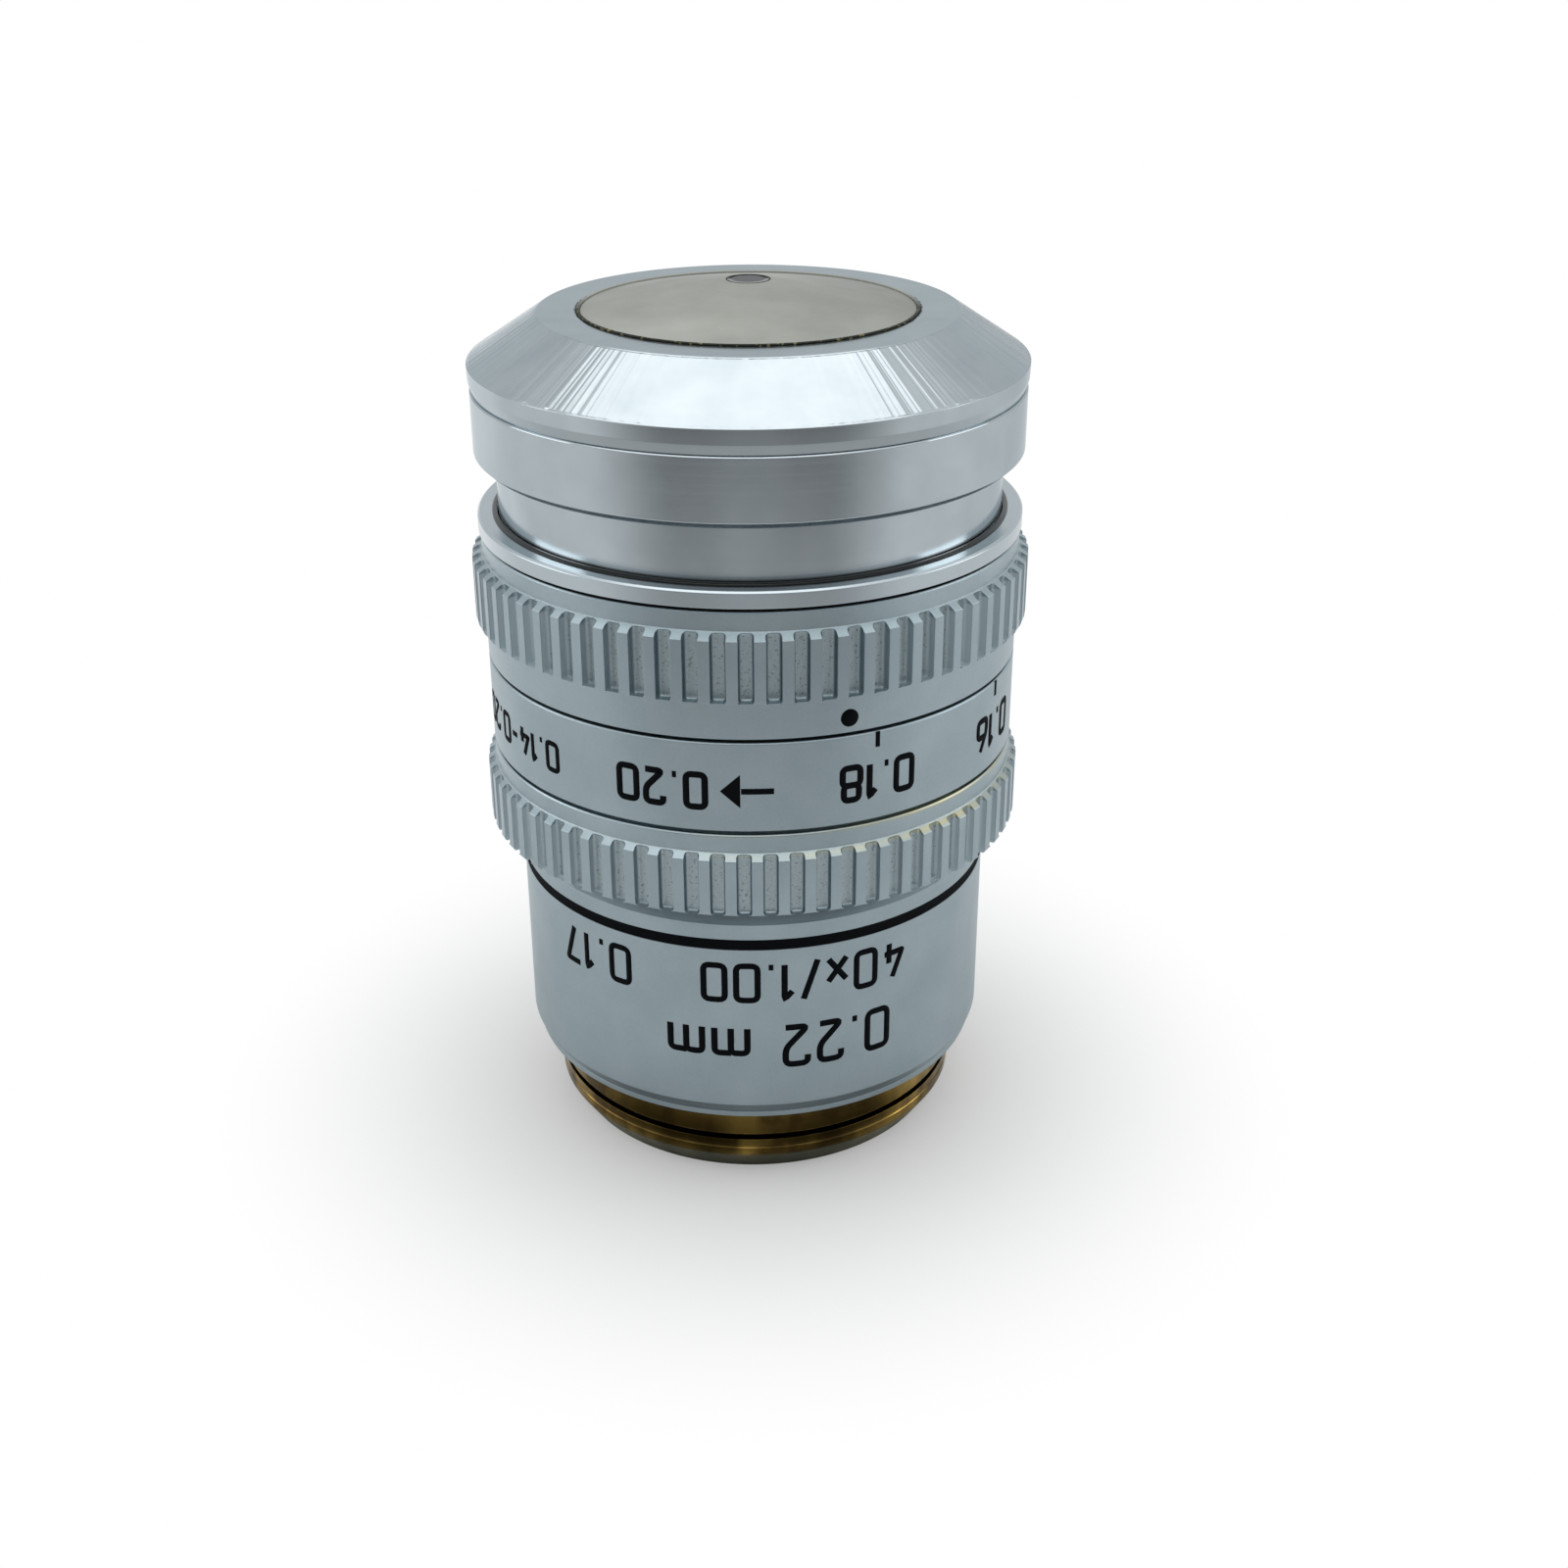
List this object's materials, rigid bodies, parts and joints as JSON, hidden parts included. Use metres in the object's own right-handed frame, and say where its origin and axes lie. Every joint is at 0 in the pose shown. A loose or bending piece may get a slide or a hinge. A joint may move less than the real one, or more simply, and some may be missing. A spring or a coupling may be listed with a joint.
{
  "type": "microscope objective",
  "caption": "Immersion microscope objective with a mounting thread, a knurled correction collar beside a cover glass scale, and a sprung conical nose round a small front lens.",
  "frame": {"origin": "centre of the thread's end face, on the optical axis, where the objective stands", "axes": "+Z along the optical axis towards the front lens, -Y towards the index dot's side"},
  "size_m": [0.032, 0.032, 0.0509],
  "materials": {
    "brass": "turned brass",
    "satin_chrome": "fine matt chrome on brass",
    "bright_chrome": "turned and polished chrome",
    "matt_nickel": "matt nickel",
    "blackened_brass": "blackened",
    "steel": "ground steel",
    "glass": "coated optical glass"
  },
  "bodies": {
    "body": {"mount_body": "brass", "barrel_sleeve": "satin_chrome", "grip_ring": "satin_chrome", "scale_ring": "satin_chrome", "retaining_ring": "bright_chrome", "guide_pin": "steel", "return_spring": "steel"},
    "collar": {"correction_collar": "satin_chrome", "collar_key": "steel"},
    "optics": {"front_sleeve": "bright_chrome", "nose_cap": "bright_chrome", "front_lens_cell": "matt_nickel", "front_lens": "glass", "front_meniscus": "glass", "second_meniscus": "glass", "lens_barrel": "blackened_brass", "stop_ring": "brass", "doublet_cell": "blackened_brass", "doublet_front_lens": "glass", "doublet_rear_lens": "glass", "front_spacer": "blackened_brass", "triplet_cell": "blackened_brass", "triplet_front_lens": "glass", "triplet_middle_lens": "glass", "triplet_rear_lens": "glass", "rear_doublet_cell": "blackened_brass", "rear_doublet_front_lens": "glass", "rear_doublet_rear_lens": "glass", "rear_spacer": "blackened_brass", "rear_meniscus_cell": "blackened_brass", "rear_meniscus_lens": "glass", "rear_field_lens": "glass", "rear_lock_ring": "blackened_brass"},
    "cam": {"cam_sleeve": "brass"},
    "correction": {"correction_cell": "blackened_brass", "correction_lock_ring": "blackened_brass", "follower_pin": "steel", "correction_front_lens": "glass", "correction_rear_lens": "glass"}
  },
  "joints": [
    {"name": "collar_turn", "type": "hinge", "parent": "body", "child": "collar", "pos_m": [0, 0, 0.0336], "axis": [0, 0, 1], "range_deg": [-40, 85]},
    {"name": "nose_retract", "type": "slide", "parent": "body", "child": "optics", "axis": [0, 0, -1], "range_m": [0, 0.0018], "stiffness_N_per_m": 900, "springref_m": -0.005, "deforming": ["return_spring"]},
    {"name": "cam_turn", "type": "hinge", "parent": "optics", "child": "cam", "pos_m": [0, 0, 0.0276], "axis": [0, 0, 1], "range_deg": [-40, 85]},
    {"name": "correction_slide", "type": "slide", "parent": "optics", "child": "correction", "axis": [0, 0, 1], "range_m": [-0.00024, 0.00051]}
  ],
  "couplings": [
    {"joint": "cam_turn", "follows": "collar_turn", "ratio": 1},
    {"joint": "correction_slide", "follows": "collar_turn", "m_per_rad": 0.00034}
  ]
}
